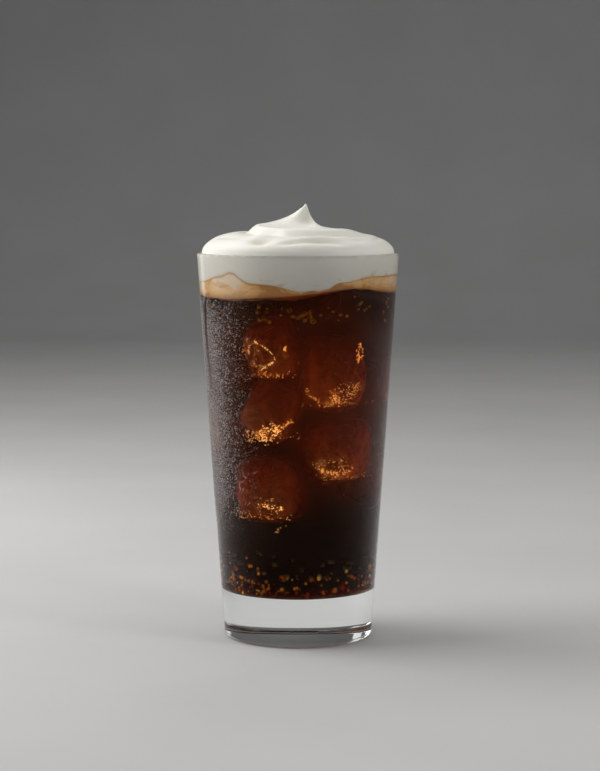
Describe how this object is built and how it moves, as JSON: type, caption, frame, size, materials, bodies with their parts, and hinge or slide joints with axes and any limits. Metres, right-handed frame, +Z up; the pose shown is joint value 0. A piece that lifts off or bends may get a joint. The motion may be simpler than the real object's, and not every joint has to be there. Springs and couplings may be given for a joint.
{
  "type": "iced coffee",
  "caption": "Iced coffee in a tall tapered glass tumbler with a thick clear base, a layer of coffee foam and a swirled whipped cream top that ends in a leaning peak.",
  "frame": {"origin": "centre of the foot, on the plane that the tumbler stands on", "axes": "+Z up along the tumbler's axis; -Y is the front, with the peak leaning towards +X"},
  "size_m": [0.0798, 0.0798, 0.1723],
  "materials": {
    "glass": "clear polished",
    "coffee": "liquid, deep red-brown",
    "crema": "fine foam, satin",
    "cream": "smooth satin cream",
    "ice": "clear to cloudy ice, melted smooth",
    "bubble": "thin bubble film, golden",
    "dew": "clear water droplets"
  },
  "bodies": {
    "root": {"glass": "glass", "coffee": "coffee", "crema": "crema", "cream": "cream"}
  },
  "joints": []
}
